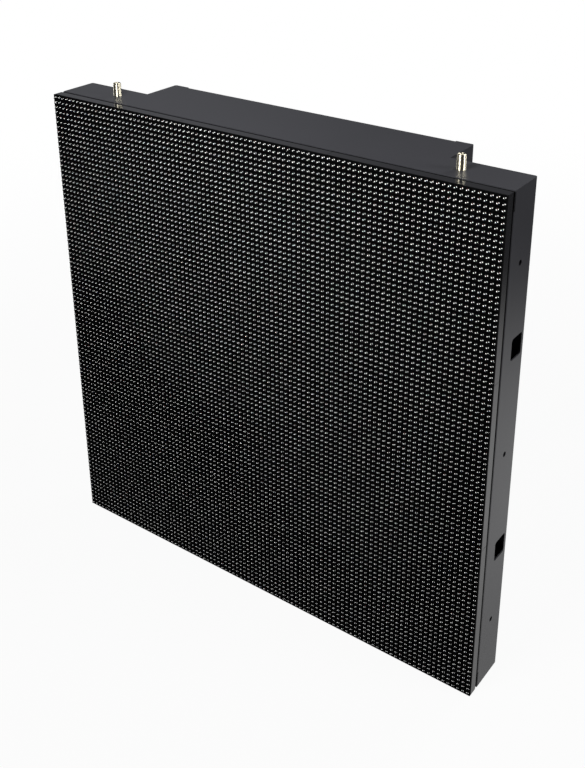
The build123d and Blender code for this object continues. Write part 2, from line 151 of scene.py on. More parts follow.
class LedSizes(bpy.types.PropertyGroup):
    """Sizes of one LED."""

    width: length("Width", "Width of the housing", 3.6 * MM)
    height: length("Height", "Height of the housing", 2.8 * MM)
    depth: length("Depth", "Distance of the housing's front behind the louvre tips", 0.4 * MM)
    cup_width: length("Cup width", "Width of the cup at the front", 3.3 * MM)
    cup_height: length("Cup height", "Height of the cup at the front", 2.4 * MM)
    cup_corner: length("Cup corner", "Cut of the cup's corners", 0.4 * MM)
    cup_depth: length("Cup depth", "Depth of the cup in the housing", 0.45 * MM)
    cup_taper: share("Cup taper", "Size of the cup's floor to its mouth", 0.92)
    # Plated pads, set apart on a diagonal so that they also paint each LED's two highlights: partly real
    # pads, partly painted highlight
    pad_highlight_inner: length("Pad inner edge", "Distance of the two pads' inner edges from the middle", 0.63 * MM)
    pad_highlight_offset: length("Pad offset", "Rise of the right pad and fall of the left one", 0.5 * MM)
    pad_highlight_height: length("Pad height", "Height of a pad", 1.0 * MM)
    chip_width: length("Chip width", "Width of a chip", 0.3 * MM)
    chip_height: length("Chip height", "Height of a chip", 0.24 * MM)
    chip_step: length("Chip step", "Distance from chip to chip", 0.5 * MM)


class ScrewSizes(bpy.types.PropertyGroup):
    """Sizes and places of the rear cover's screws."""

    head_radius: length("Head radius", "Radius of the countersunk head", 3.2 * MM)
    shank_radius: length("Shank radius", "Radius of the shank", 1.75 * MM)
    head_height: length("Head height", "Height of the countersunk head", 1.5 * MM)
    whole_length: length("Length", "Length of the screw with its head", 8 * MM)
    recess_reach: length("Recess reach", "Distance from the middle to the end of the recess", 1.75 * MM)
    recess_width: length("Recess width", "Width of an arm of the cross recess", 0.7 * MM)
    recess_depth: length("Recess depth", "Depth of the cross recess", 0.9 * MM)
    recess_taper: share("Recess taper", "Size of the recess's floor to its mouth", 0.6)
    side_count: number("Side screws", "Screws along each side of the cover", 4)
    side_step: length("Side step", "Distance between two screws along a side of the cover", 172 * MM)
    side_x: length("Side distance", "Distance of the side screws from the middle", 188 * MM)
    end_count: number("End screws", "Screws along the top and along the bottom of the cover", 2)
    end_step: length("End step", "Distance between two screws along the top or the bottom", 180 * MM)
    end_inset: length("End inset", "Distance of the top and bottom screws from the case's ends", 10 * MM)


class FinishColours(bpy.types.PropertyGroup):
    """Colours of the finishes."""

    paint: colour("Case paint", "Satin black powder coat of the steel case", (0.014, 0.014, 0.0163))
    mask: colour("Mask", "Matt plastic of the louvred masks", (0.001, 0.001, 0.0011))
    base: colour("Module base", "Satin plastic of the module bases", (0.006, 0.006, 0.0068))
    socket: colour("Sockets", "Plastic of the round sockets and the terminal block", (0.018, 0.018, 0.02))
    laminate: colour("Boards", "Solder mask of the circuit boards", (0.012, 0.03, 0.018))
    nickel: colour("Nickel", "Nickel plate of the pins, magnets and standoffs", (0.50, 0.48, 0.40))
    zinc: colour("Zinc", "Zinc plate of the inner steel parts", (0.58, 0.59, 0.60))
    oxide: colour("Black oxide", "Black oxide of the screws", (0.045, 0.045, 0.05))
    led_housing: colour("LED housing", "Plastic of the LED housings", (0.0014, 0.0014, 0.0015))
    # Colour of the plated pads, which also stand in for each LED's two highlights: partly painted highlight
    led_pad_highlight: colour("LED pads", "Plated pads seen through the resin", (0.88, 0.88, 0.85))
    red_chip: colour("Red chip", "Upper chip of an LED", (0.30, 0.04, 0.03))
    green_chip: colour("Green chip", "Middle chip of an LED", (0.05, 0.22, 0.09))
    blue_chip: colour("Blue chip", "Lower chip of an LED", (0.05, 0.08, 0.28))


class StageSizes(bpy.types.PropertyGroup):
    """Floor, lamps and camera."""

    floor: length("Floor", "Side of the square floor", 24.0)
    ambient: share("Ambient", "Level of the surroundings", 0.22)
    target: location("Lamp target", "Point that every lamp faces", (0.0, 0.0, 0.3))
    key_place: location("Key lamp place", "Place of the lamp above the front", (0.04, -0.64, 1.06))
    key_side: length("Key lamp side", "Side of the square key lamp", 0.36)
    key_power: wattage("Key lamp power", "Power of the key lamp", 19.0)
    fill_place: location("Fill lamp place", "Place of the lamp on the right", (1.2, 0.25, 1.0))
    fill_side: length("Fill lamp side", "Side of the square fill lamp", 0.4)
    fill_power: wattage("Fill lamp power", "Power of the fill lamp", 18.0)
    rear_place: location("Rear lamp place", "Place of the lamp behind the part", (0.75, 2.0, 1.8))
    rear_side: length("Rear lamp side", "Side of the square rear lamp", 1.2)
    rear_power: wattage("Rear lamp power", "Power of the rear lamp", 60.0)
    left_place: location("Left lamp place", "Place of the lamp on the left", (-1.7, 0.3, 0.4))
    left_side: length("Left lamp side", "Side of the square left lamp", 0.7)
    left_power: wattage("Left lamp power", "Power of the left lamp", 14.0)
    camera_place: location("Camera place", "Where the camera stands", (0.65197, -0.86651, 0.90794))
    camera_turn: bpy.props.FloatVectorProperty(
        name="Camera turn", description="How the camera is turned",
        default=(math.radians(67.308), math.radians(0.372), math.radians(36.204)), subtype="EULER"
    )
    lens: bpy.props.FloatProperty(name="Lens", description="Focal length in millimetres", default=50.169)
    shift: bpy.props.FloatProperty(name="Shift", description="Vertical shift of the frame", default=-0.2)


class Value:
    """A socket that gives something. Python's operators on it add Math nodes."""

    def __init__(self, graph, socket):
        self.graph = graph
        self.socket = socket

    def math(self, operation, first, second=0.0):
        """A Math node on one or two inputs."""
        return self.graph.add("ShaderNodeMath", {"operation": operation}, {0: first, 1: second})

    def __add__(self, other):
        return self.math("ADD", self, other)

    def __radd__(self, other):
        return self.math("ADD", other, self)

    def __sub__(self, other):
        return self.math("SUBTRACT", self, other)

    def __rsub__(self, other):
        return self.math("SUBTRACT", other, self)

    def __mul__(self, other):
        return self.math("MULTIPLY", self, other)

    def __rmul__(self, other):
        return self.math("MULTIPLY", other, self)

    def __truediv__(self, other):
        return self.math("DIVIDE", self, other)

    def __rtruediv__(self, other):
        return self.math("DIVIDE", other, self)

    def __mod__(self, other):
        return self.math("FLOORED_MODULO", self, other)

    def __pow__(self, other):
        return self.math("POWER", self, other)

    def __abs__(self):
        return self.math("ABSOLUTE", self)

    def __neg__(self):
        return self.math("MULTIPLY", self, -1.0)

    def __lt__(self, other):
        return self.math("LESS_THAN", self, other)

    def __gt__(self, other):
        return self.math("GREATER_THAN", self, other)


class Graph:
    """A node tree that is written as Python expressions."""

    def __init__(self, tree):
        self.tree = tree
        tree.nodes.clear()

    def add(self, kind, settings=None, inputs=None, output=0):
        """Adds a node, sets its settings, then its inputs by name or number, and gives one output."""
        node = self.tree.nodes.new(kind)
        for name, setting in (settings or {}).items():
            setattr(node, name, setting)
        for name, given in (inputs or {}).items():
            for source in given if isinstance(given, list) else [given]:
                if isinstance(source, Value):
                    self.tree.links.new(source.socket, node.inputs[name])
                else:
                    node.inputs[name].default_value = source
        return Value(self, node.outputs[output]) if node.outputs else None

    def also(self, value, output):
        """Another output of the node that gave this value."""
        return Value(self, value.socket.node.outputs[output])

    def parts(self, vector):
        """X, Y and Z of a vector."""
        first = self.add("ShaderNodeSeparateXYZ", inputs={0: vector})
        return first, self.also(first, 1), self.also(first, 2)

    def vector(self, x=0.0, y=0.0, z=0.0):
        """A vector from its X, Y and Z."""
        return self.add("ShaderNodeCombineXYZ", inputs={0: x, 1: y, 2: z})

    def noise(self, place, waves, detail):
        """Smooth noise from 0 to 1, with this many waves to the metre and this many finer layers."""
        return self.add("ShaderNodeTexNoise", inputs={"Vector": place, "Scale": waves, "Detail": detail})

    def ramp(self, value, span, levels):
        """Goes smoothly from the first level to the second while the value crosses the span."""
        low, high = span
        start, end = levels
        return self.add(
            "ShaderNodeMapRange",
            {"interpolation_type": "SMOOTHSTEP"},
            {"Value": value, "From Min": low, "From Max": high, "To Min": start, "To Max": end},
        )

    def mix_colour(self, factor, first, second):
        """From the first colour at 0 to the second at 1."""
        return self.add("ShaderNodeMix", {"data_type": "RGBA"}, {0: factor, 6: first, 7: second}, output=2)

    def mix_shader(self, factor, first, second):
        """From the first shader at 0 to the second at 1."""
        return self.add("ShaderNodeMixShader", inputs={0: factor, 1: first, 2: second})

    def bump(self, height, depth, strength):
        """Normal of a surface whose relief is this deep, in metres."""
        return self.add("ShaderNodeBump", inputs={"Height": height, "Distance": depth, "Strength": strength})


def solid(rgb, level=1.0):
    """A colour with its alpha, made darker or lighter by level."""
    return (*(min(1.0, channel * level) for channel in rgb), 1.0)


def finish(name, surface_of, painted_shade_of=None):
    """A material whose Principled shader has the inputs that surface_of(graph, place) gives.

    Where the shade function, if one is given, gives 1, the surface is a dull black diffuse: painted shade."""
    material = bpy.data.materials.new(name)
    material.use_nodes = True
    graph = Graph(material.node_tree)
    place = graph.add("ShaderNodeTexCoord", output="Object")
    surface = graph.add("ShaderNodeBsdfPrincipled", inputs=surface_of(graph, place))
    # Painted shade: a dull black diffuse mixed in where the shade function gives 1
    if painted_shade_of:
        gap_shade = graph.add("ShaderNodeBsdfDiffuse", inputs={"Color": solid(PAINTED_GAP_SHADE)})
        surface = graph.mix_shader(painted_shade_of(graph, place), surface, gap_shade)
    graph.add("ShaderNodeOutputMaterial", inputs={"Surface": surface})
    return material


def powder_coat(rgb):
    """Satin powder coat: soft orange peel, a fine grain and faint clouds in its sheen, and painted shade
    along the case's front edge.
    """

    def surface(graph, place):
        cloud = graph.noise(place, waves=7.0, detail=3.0)
        peel = graph.noise(place, waves=420.0, detail=1.0)
        grain = graph.noise(place, waves=1900.0, detail=2.0)
        return {
            "Base Color": graph.mix_colour(cloud, solid(rgb, 0.86), solid(rgb, 1.16)),
            "Roughness": 0.28 + 0.06 * cloud + 0.05 * grain,
            "Specular IOR Level": 0.39,
            "Normal": graph.bump(0.75 * peel + 0.25 * grain, depth=0.05 * MM, strength=0.5),
        }

    # Painted shade: the case's front edge, in the gap behind the modules, is painted dull black where it
    # lies in shadow
    def painted_gap_shade(graph, place):
        _, y, _ = graph.parts(place)
        full_shade, painted = GAP_SHADE_FADE
        return graph.ramp(y, (LIP_Y + full_shade, LIP_Y + painted), (1.0, 0.0))

    return finish("powder_coat", surface, painted_gap_shade)


def moulded_plastic(name, rgb, gloss, relief, sheen):
    """Moulded plastic with a fine spark-eroded texture. Relief is in metres."""

    def surface(graph, place):
        flow = graph.noise(place, waves=25.0, detail=2.0)
        texture = graph.noise(place, waves=3200.0, detail=2.0)
        return {
            "Base Color": graph.mix_colour(flow, solid(rgb, 0.9), solid(rgb, 1.12)),
            "Roughness": (1 - gloss) + 0.12 * texture,
            "Specular IOR Level": sheen,
            "Normal": graph.bump(texture, depth=relief, strength=0.6),
        }

    return finish(name, surface)


def turned_nickel(rgb):
    """Nickel plate over turned steel: fine rings across the upright axis and patches of a yellow cast."""
    cast = [channel * kept for channel, kept in zip(rgb, (0.9, 0.84, 0.72))]

    def surface(graph, place):
        x, y, z = graph.parts(place)
        rings = graph.noise(graph.vector(x * 4.0, y * 4.0, z * 9000.0), waves=1.0, detail=1.0)
        stain = graph.noise(place, waves=160.0, detail=3.0)
        return {
            "Base Color": graph.mix_colour(stain, solid(rgb, 1.1), solid(cast)),
            "Metallic": 1.0,
            "Roughness": 0.42 + 0.06 * stain,
            "Anisotropic": 1.0,
            "Anisotropic Rotation": 0.25,
            "Normal": graph.bump(rings, depth=0.01 * MM, strength=0.5),
        }

    return finish("turned_nickel", surface)


def zinc_plate(rgb):
    """Zinc-plated sheet: large soft flakes with a faint upright rolling grain."""

    def surface(graph, place):
        flakes = graph.add("ShaderNodeTexVoronoi", inputs={"Vector": place, "Scale": 110.0}, output="Color")
        flake, _, _ = graph.parts(flakes)
        x, y, z = graph.parts(place)
        grain = graph.noise(graph.vector(x * 900.0, y * 900.0, z * 20.0), waves=1.0, detail=2.0)
        return {
            "Base Color": graph.mix_colour(flake, solid(rgb, 0.88), solid(rgb, 1.12)),
            "Metallic": 1.0,
            "Roughness": 0.28 + 0.14 * flake + 0.06 * grain,
            "Normal": graph.bump(grain, depth=0.01 * MM, strength=0.3),
        }

    return finish("zinc_plate", surface)


def black_oxide(rgb):
    """Black oxide on steel, with a dry bloom."""

    def surface(graph, place):
        bloom = graph.noise(place, waves=500.0, detail=3.0)
        return {
            "Base Color": graph.mix_colour(bloom, solid(rgb, 0.7), solid(rgb, 1.5)),
            "Metallic": 0.8,
            "Roughness": 0.3 + 0.2 * bloom,
            "Normal": graph.bump(bloom, depth=0.01 * MM, strength=0.3),
        }

    return finish("black_oxide", surface)


def solder_mask(rgb):
    """Solder mask over copper tracks, which show as slightly raised paler lines."""
    step = 2.4 * MM
    # Half a track's width, as a share of the step
    half_track = 0.16

    def surface(graph, place):
        x, _, z = graph.parts(place)
        track = abs(((x + z) / step) % 1.0 - 0.5) < half_track
        field = graph.noise(place, waves=60.0, detail=0.0) > 0.5
        line = track * field
        return {
            "Base Color": graph.mix_colour(line, solid(rgb), solid(rgb, 1.9)),
            "Roughness": 0.3,
            "Normal": graph.bump(line, depth=0.03 * MM, strength=0.5),
        }

    return finish("solder_mask", surface)


def led_finish(colours, sizes, pitch, floor_y):
    """LED: dark housing whose cup holds two plated pads and a column of chips under clear resin. The pads
    sit on a diagonal, so their bright patches also paint the LED's two highlights.

    The cup's floor lies just behind floor_y."""
    half_width = sizes.cup_width * sizes.cup_taper / 2
    half_height = sizes.cup_height * sizes.cup_taper / 2
    half_pad_highlight = sizes.pad_highlight_height / 2
    step = sizes.chip_step
    chips = ((step, colours.red_chip), (0.0, colours.green_chip), (-step, colours.blue_chip))

    def surface(graph, place):
        x, y, z = graph.parts(place)
        right = ((x / pitch) % 1.0 - 0.5) * pitch
        up = ((z / pitch) % 1.0 - 0.5) * pitch
        floor = (y > floor_y) * (abs(right) < half_width) * (abs(up) < half_height)
        # Two plated pads on a diagonal: partly real pads, partly painted highlights
        left_pad_highlight = (right < -sizes.pad_highlight_inner) * (abs(up + sizes.pad_highlight_offset) < half_pad_highlight)
        right_pad_highlight = (right > sizes.pad_highlight_inner) * (abs(up - sizes.pad_highlight_offset) < half_pad_highlight)
        cup = graph.mix_colour(left_pad_highlight + right_pad_highlight, solid(colours.led_housing, 1.6), solid(colours.led_pad_highlight))
        for height, tint in chips:
            chip = (abs(right) < sizes.chip_width / 2) * (abs(up - height) < sizes.chip_height / 2)
            cup = graph.mix_colour(chip, cup, solid(tint))
        return {
            "Base Color": graph.mix_colour(floor, solid(colours.led_housing), cup),
            "Roughness": 0.55 - 0.2 * floor,
            "Coat Weight": floor,
            "Coat Roughness": 0.1,
            "Specular IOR Level": 0.05,
        }

    return finish("led", surface)


def mesh_object(name, build):
    """A mesh object that build(bm) fills."""
    bm = bmesh.new()
    build(bm)
    bmesh.ops.recalc_face_normals(bm, faces=bm.faces)
    mesh = bpy.data.meshes.new(name)
    bm.to_mesh(mesh)
    bm.free()
    piece = bpy.data.objects.new(name, mesh)
    bpy.context.scene.collection.objects.link(piece)
    return piece


def add_prism(bm, outline, start, end):
    """Closed prism from an outline of points at one end, moved to both ends by two vectors."""
    first = [bm.verts.new(Vector(point) + Vector(start)) for point in outline]
    second = [bm.verts.new(Vector(point) + Vector(end)) for point in outline]
    bm.faces.new(first)
    bm.faces.new(reversed(second))
    add_band(bm, first, second)


def add_ring(bm, radius, y, count):
    """Ring of vertices round the Y axis."""
    angles = [2 * math.pi * i / count for i in range(count)]
    return [bm.verts.new((radius * math.cos(angle), y, radius * math.sin(angle))) for angle in angles]


def add_band(bm, first, second):
    """Faces between two rings of as many vertices."""
    for i in range(len(first)):
        j = (i + 1) % len(first)
        bm.faces.new((first[i], first[j], second[j], second[i]))


def remove(*pieces):
    """Deletes helper objects with their meshes."""
    for piece in pieces:
        mesh = piece.data
        bpy.data.objects.remove(piece)
        bpy.data.meshes.remove(mesh)


def new_tree(name, inputs):
    """A geometry tree with named inputs, each given with its kind. Gives its graph and inputs."""
    tree = bpy.data.node_groups.new(name, "GeometryNodeTree")
    for label, kind in inputs.items():
        tree.interface.new_socket(label, in_out="INPUT", socket_type=f"NodeSocket{kind}")
    tree.interface.new_socket("Geometry", in_out="OUTPUT", socket_type="NodeSocketGeometry")
    graph = Graph(tree)
    first = graph.add("NodeGroupInput")
    return graph, {label: graph.also(first, label) for label in inputs}


def close_tree(graph, geometry, material):
    """Ends a tree with real geometry and its material."""
    real = graph.add("GeometryNodeRealizeInstances", inputs={"Geometry": geometry})
    painted = graph.add("GeometryNodeSetMaterial", inputs={"Geometry": real, "Material": material})
    graph.add("NodeGroupOutput", inputs={"Geometry": painted})
    return graph.tree


def rows_and_columns_tree():
    """Repeats a piece in rows and columns on the XZ plane, round a centre."""
    graph, given = new_tree(
        "rows_and_columns",
        {
            "Piece": "Object",
            "Across": "Int",
            "Up": "Int",
            "Step X": "Float",
            "Step Z": "Float",
            "Centre": "Vector",
            "Material": "Material",
        },
    )
    grid = graph.add(
        "GeometryNodeMeshGrid",
        inputs={
            "Size X": (given["Across"] - 1) * given["Step X"],
            "Size Y": (given["Up"] - 1) * given["Step Z"],
            "Vertices X": given["Across"],
            "Vertices Y": given["Up"],
        },
    )
    upright = graph.add(
        "GeometryNodeTransform",
        inputs={"Geometry": grid, "Rotation": (math.pi / 2, 0.0, 0.0), "Translation": given["Centre"]},
    )
    piece = graph.add("GeometryNodeObjectInfo", inputs={"Object": given["Piece"]}, output="Geometry")
    copies = graph.add("GeometryNodeInstanceOnPoints", inputs={"Points": upright, "Instance": piece})
    return close_tree(graph, copies, given["Material"])


def window_plate(graph, given):
    """Plate with a window for each LED, on the XY plane with its front up."""
    side = given["Cells"] * given["Pitch"]
    points = given["Cells"] + 1
    grid = graph.add(
        "GeometryNodeMeshGrid",
        inputs={"Size X": side, "Size Y": side, "Vertices X": points, "Vertices Y": points},
    )
    inset = graph.add(
        "GeometryNodeExtrudeMesh", {"mode": "FACES"}, {"Mesh": grid, "Offset Scale": 0.0, "Individual": True}
    )
    inner = graph.also(inset, "Top")
    shape = inset
    for size, axis in (("Window Width", (1.0, 0.0, 0.0)), ("Window Height", (0.0, 1.0, 0.0))):
        shape = graph.add(
            "GeometryNodeScaleElements",
            {"domain": "FACE", "scale_mode": "SINGLE_AXIS"},
            {"Geometry": shape, "Selection": inner, "Scale": given[size] / given["Pitch"], "Axis": axis},
        )
    lattice = graph.add(
        "GeometryNodeDeleteGeometry", {"domain": "FACE"}, {"Geometry": shape, "Selection": inner}
    )
    x, y, z = graph.parts(graph.add("GeometryNodeInputPosition"))
    limit = given["Half Width"]
    held = [value.math("MAXIMUM", value.math("MINIMUM", value, limit), -limit) for value in (x, y)]
    lattice = graph.add(
        "GeometryNodeSetPosition", inputs={"Geometry": lattice, "Position": graph.vector(*held, z)}
    )
    rise = graph.vector(z=given["Plate"])
    front = graph.add(
        "GeometryNodeExtrudeMesh",
        {"mode": "FACES"},
        {"Mesh": lattice, "Offset": rise, "Offset Scale": 1.0, "Individual": False},
    )
    back = graph.add("GeometryNodeFlipFaces", inputs={"Mesh": lattice})
    both = graph.add("GeometryNodeJoinGeometry", inputs={"Geometry": [front, back]})
    return graph.add("GeometryNodeMergeByDistance", inputs={"Geometry": both, "Distance": WELD})


def repeated_bars(graph, bar, count, first, step):
    """Copies of a bar, from a first place on by a step."""
    line = graph.add(
        "GeometryNodeMeshLine", inputs={"Count": count, "Start Location": first, "Offset": step}
    )
    shape = graph.add("GeometryNodeObjectInfo", inputs={"Object": bar}, output="Geometry")
    return graph.add("GeometryNodeInstanceOnPoints", inputs={"Points": line, "Instance": shape})


def louvred_mask_tree():
    """Mask of a module: plate with windows, louvres under the rows, ribs between the columns, two rims."""
    graph, given = new_tree(
        "louvred_mask",
        {
            "Cells": "Int",
            "Pitch": "Float",
            "Half Width": "Float",
            "Window Width": "Float",
            "Window Height": "Float",
            "Plate": "Float",
            "Rim Middle": "Float",
            "Louvre": "Object",
            "Rib": "Object",
            "Rim": "Object",
            "Centre": "Vector",
            "Material": "Material",
        },
    )
    plate = graph.add(
        "GeometryNodeTransform",
        inputs={"Geometry": window_plate(graph, given), "Rotation": (math.pi / 2, 0.0, 0.0)},
    )
    cells = given["Cells"]
    pitch = given["Pitch"]
    rim = given["Rim Middle"]
    lowest_row = graph.vector(z=(1 - cells) * pitch / 2)
    first_gap = graph.vector(x=(2 - cells) * pitch / 2)
    louvres = repeated_bars(graph, given["Louvre"], cells, lowest_row, graph.vector(z=pitch))
    ribs = repeated_bars(graph, given["Rib"], cells - 1, first_gap, graph.vector(x=pitch))
    rims = repeated_bars(graph, given["Rim"], 2, graph.vector(x=-rim), graph.vector(x=2 * rim))
    whole = graph.add("GeometryNodeJoinGeometry", inputs={"Geometry": [plate, louvres, ribs, rims]})
    placed = graph.add("GeometryNodeTransform", inputs={"Geometry": whole, "Translation": given["Centre"]})
    return close_tree(graph, placed, given["Material"])


def grown(name, tree, values):
    """The plain mesh object that a geometry tree gives with these input values."""
    piece = bpy.data.objects.new(name, bpy.data.meshes.new(name))
    bpy.context.scene.collection.objects.link(piece)
    modifier = piece.modifiers.new("shape", "NODES")
    modifier.node_group = tree
    for item in tree.interface.items_tree:
        if item.in_out == "INPUT":
            modifier[item.identifier] = values[item.name]
    shape = bpy.data.meshes.new_from_object(piece.evaluated_get(bpy.context.evaluated_depsgraph_get()))
    empty = piece.data
    piece.modifiers.remove(modifier)
    piece.data = shape
    bpy.data.meshes.remove(empty)
    shape.name = name
    return piece


def settle(piece):
    """Makes a finished piece ride on the body."""
    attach(piece, BODY)


def paint_nodes(names, material):
    """Gives CAD nodes a material in every slot of theirs."""
    for name in names:
        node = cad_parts[name]
        for slot in node.material_slots:
            slot.material = material


def module_centre(place, y):
    """Middle of a module's mask from left to right and from bottom to top, at a given Y."""
    low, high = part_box(f"mask_{place}")
    return (low.x + high.x) / 2, y, (low.z + high.z) / 2


def add_louvre(bm, sizes, half_width):
    """Louvre under a row of LEDs. The LEDs' middle is at Z 0 and the plate's back at Y 0."""
    root_y = -sizes.plate / 2
    tip_y = FACE_Y - BOARD_Y
    upper = -sizes.drop
    outline = [
        (0, root_y, upper),
        (0, -sizes.plate, upper),
        (0, tip_y, upper - sizes.slope),
        (0, tip_y, upper - sizes.slope - sizes.tip),
        (0, -sizes.plate, upper - sizes.root),
        (0, root_y, upper - sizes.root),
    ]
    add_prism(bm, outline, (-half_width, 0, 0), (half_width, 0, 0))


def add_upright_bar(bm, width, front_y, back_y, half_height):
    """Upright bar between two Y values, a fifth narrower at its front."""
    front = width * 0.4
    back = width * 0.5
    outline = [(-back, back_y, 0), (-front, front_y, 0), (front, front_y, 0), (back, back_y, 0)]
    add_prism(bm, outline, (0, 0, -half_height), (0, 0, half_height))


def cut_rectangle(width, height, cut):
    """Outline, as X and Z, of a rectangle whose four corners are cut."""
    half_x = width / 2
    half_z = height / 2
    points = []
    for side, rise in QUARTERS:
        ends = [(side * half_x, rise * (half_z - cut)), (side * (half_x - cut), rise * half_z)]
        points += ends if side == rise else reversed(ends)
    return points


def add_led(bm, sizes, housing_depth):
    """LED housing with a tapered cup in its front. The front is at Y 0."""
    corners = [(side * sizes.width / 2, rise * sizes.height / 2) for side, rise in QUARTERS]
    front = [bm.verts.new((x, 0, z)) for x, z in corners]
    back = [bm.verts.new((x, housing_depth, z)) for x, z in corners]
    add_band(bm, front, back)
    bm.faces.new(back)
    mouth = cut_rectangle(sizes.cup_width, sizes.cup_height, sizes.cup_corner)
    rim = [bm.verts.new((x, 0, z)) for x, z in mouth]
    floor = [bm.verts.new((x * sizes.cup_taper, sizes.cup_depth, z * sizes.cup_taper)) for x, z in mouth]
    for i, corner in enumerate(front):
        near = rim[2 * i]
        far = rim[2 * i + 1]
        after = rim[(2 * i + 2) % len(rim)]
        bm.faces.new((corner, near, far))
        bm.faces.new((corner, far, after, front[(i + 1) % len(front)]))
    add_band(bm, rim, floor)
    bm.faces.new(floor)


def add_cross_screw(bm, sizes):
    """Countersunk screw with a cross recess. Its head is flush with Y 0 and it points to -Y."""
    sides = 24
    head = add_ring(bm, sizes.head_radius, 0, sides)
    neck = add_ring(bm, sizes.shank_radius, -sizes.head_height, sides)
    foot = add_ring(bm, sizes.shank_radius, -sizes.whole_length, sides)
    add_band(bm, head, neck)
    add_band(bm, neck, foot)
    bm.faces.new(foot)
    arm = sizes.recess_width / 2
    reach = sizes.recess_reach
    taper = sizes.recess_taper
    quarter = [(reach, -arm), (reach, arm), (arm, arm)]
    mouth = []
    floor = []
    for turn in range(4):
        spin = Matrix.Rotation(turn * math.pi / 2, 2)
        for point in quarter:
            x, z = spin @ Vector(point)
            mouth.append(bm.verts.new((x, 0, z)))
            floor.append(bm.verts.new((x * taper, -sizes.recess_depth, z * taper)))
    add_band(bm, mouth, floor)
    bm.faces.new(floor)
    edges = []
    for ring in (head, mouth):
        edges += [bm.edges.get((ring[i - 1], ring[i])) for i in range(len(ring))]
    bmesh.ops.bridge_loops(bm, edges=edges)


class LEDPANEL_OT_masks(bpy.types.Operator):
    """Builds the louvred mask of each module"""

    bl_idname = "ledpanel.masks"
    bl_label = "Louvred masks"

    def execute(self, context):
        sizes = context.scene.ledpanel_mask
        low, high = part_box("mask_row1_column1")
        half_width = (high.x - low.x) / 2
        tip_y = FACE_Y - BOARD_Y
        rib_y = tip_y + sizes.rib_depth
        rim_y = tip_y + sizes.rim_depth
        sunk_y = -sizes.plate / 2
        louvre = mesh_object("louvre", lambda bm: add_louvre(bm, sizes, half_width))
        rib = mesh_object("rib", lambda bm: add_upright_bar(bm, sizes.rib_width, rib_y, sunk_y, half_width))
        rim = mesh_object("rim", lambda bm: add_upright_bar(bm, sizes.rim_width, rim_y, 0.0, half_width))
        rgb = context.scene.ledpanel_colours.mask
        values = {
            "Cells": CELLS,
            "Pitch": sizes.pitch,
            "Half Width": half_width,
            "Window Width": sizes.window_width,
            "Window Height": sizes.window_height,
            "Plate": sizes.plate,
            "Rim Middle": half_width - sizes.rim_width / 2,
            "Louvre": louvre,
            "Rib": rib,
            "Rim": rim,
            "Material": moulded_plastic("mask_plastic", rgb, gloss=0.3, relief=0.01 * MM, sheen=0.02),
        }
        tree = louvred_mask_tree()
        for place in MODULES:
            values["Centre"] = module_centre(place, BOARD_Y)
            piece = grown(f"louvred_mask_{place}", tree, values)
            settle(piece)
            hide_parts(f"mask_{place}")
        remove(louvre, rib, rim)
        return {"FINISHED"}


class LEDPANEL_OT_leds(bpy.types.Operator):
    """Builds the LEDs of each module"""

    bl_idname = "ledpanel.leds"
    bl_label = "LEDs"

    def execute(self, context):
        sizes = context.scene.ledpanel_led
        pitch = context.scene.ledpanel_mask.pitch
        front_y = FACE_Y + sizes.depth
        # A plane just in front of the cup's floor
        floor_y = front_y + 0.9 * sizes.cup_depth
        led = mesh_object("led", lambda bm: add_led(bm, sizes, BOARD_Y - front_y))
        values = {
            "Piece": led,
            "Across": CELLS,
            "Up": CELLS,
            "Step X": pitch,
            "Step Z": pitch,
            "Material": led_finish(context.scene.ledpanel_colours, sizes, pitch, floor_y),
        }
        tree = rows_and_columns_tree()
        for place in MODULES:
            values["Centre"] = module_centre(place, front_y)
            settle(grown(f"leds_{place}", tree, values))
        remove(led)
        return {"FINISHED"}


class LEDPANEL_OT_cover_screws(bpy.types.Operator):
    """Builds the cross-recess screws of the rear cover"""

    bl_idname = "ledpanel.cover_screws"
    bl_label = "Cover screws"

    def execute(self, context):
        sizes = context.scene.ledpanel_screw
        material = black_oxide(context.scene.ledpanel_colours.oxide)
        screw = mesh_object("screw", lambda bm: add_cross_screw(bm, sizes))
        tree = rows_and_columns_tree()
        middle_z = (COVER_LOW.z + COVER_HIGH.z) / 2
        rows = {
            "cover_screws_sides": (2, sizes.side_count, 2 * sizes.side_x, sizes.side_step),
            "cover_screws_ends": (sizes.end_count, 2, sizes.end_step, 2 * (middle_z - sizes.end_inset)),
        }
        for name, (across, up, step_x, step_z) in rows.items():
            values = {
                "Piece": screw,
                "Across": across,
                "Up": up,
                "Step X": step_x,
                "Step Z": step_z,
                "Centre": (0.0, COVER_HIGH.y, middle_z),
                "Material": material,
            }
            piece = grown(name, tree, values)
            settle(piece)
            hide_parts("cover_screws")
        remove(screw)
        return {"FINISHED"}


class LEDPANEL_OT_case(bpy.types.Operator):
    """Gives the steel case, the bases, the fittings and the inner pieces their finishes"""

    bl_idname = "ledpanel.case"
    bl_label = "Case finishes"

    def execute(self, context):
        colours = context.scene.ledpanel_colours
        bases = [f"module_base_{place}" for place in MODULES]
        boards = [f"circuit_board_{place}" for place in MODULES]
        base = moulded_plastic("base_plastic", colours.base, gloss=0.92, relief=0.01 * MM, sheen=0.48)
        fitting = moulded_plastic("socket_plastic", colours.socket, gloss=0.55, relief=0.02 * MM, sheen=0.5)
        paint_nodes(PAINT_NODES, powder_coat(colours.paint))
        paint_nodes(bases, base)
        paint_nodes(FITTING_NODES, fitting)
        paint_nodes((*boards, *BOARD_NODES), solder_mask(colours.laminate))
        paint_nodes(NICKEL_NODES, turned_nickel(colours.nickel))
        paint_nodes(ZINC_NODES, zinc_plate(colours.zinc))
        # The rear cover's screws already have this finish
        paint_nodes(("handle_screws",), bpy.data.materials["black_oxide"])
        return {"FINISHED"}


